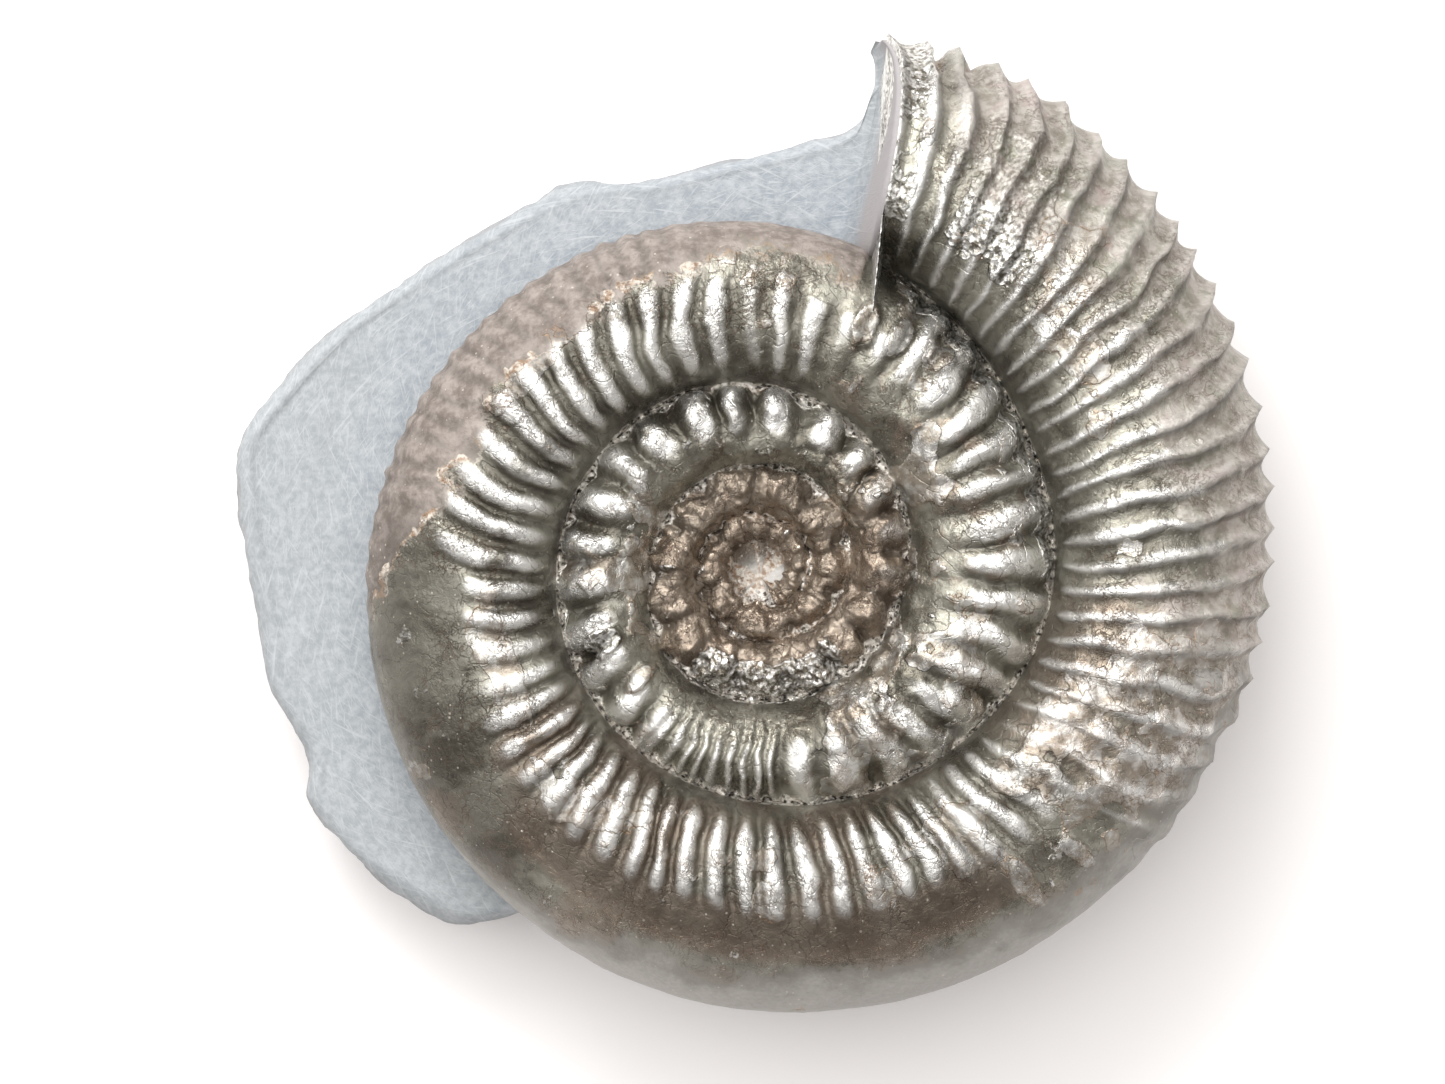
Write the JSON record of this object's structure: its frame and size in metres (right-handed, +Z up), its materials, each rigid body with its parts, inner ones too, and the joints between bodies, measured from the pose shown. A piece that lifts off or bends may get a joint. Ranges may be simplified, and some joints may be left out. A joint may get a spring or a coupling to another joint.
{
  "type": "ammonite fossil",
  "caption": "Flat-coiled ribbed ammonite fossil, lying exposed on one side in a thin slab of its pale grey rock matrix.",
  "frame": {"origin": "where the coil's axis meets the rock's flat underside", "axes": "+Z up out of the rock along the coil's axis; +X to the side where the last turn is widest; the coil's broken end is near +Y"},
  "size_m": [0.0886, 0.0838, 0.0279],
  "materials": {
    "fossil": "mineralised shell: glossy dark olive-grey to bronze with silvery crests, worn matt and brownish in bands",
    "rock": "matt pale blue-grey fine-grained mudstone with fine tool scratches"
  },
  "bodies": {
    "root": {"ammonite": "fossil", "rock_matrix": "rock"}
  },
  "joints": []
}
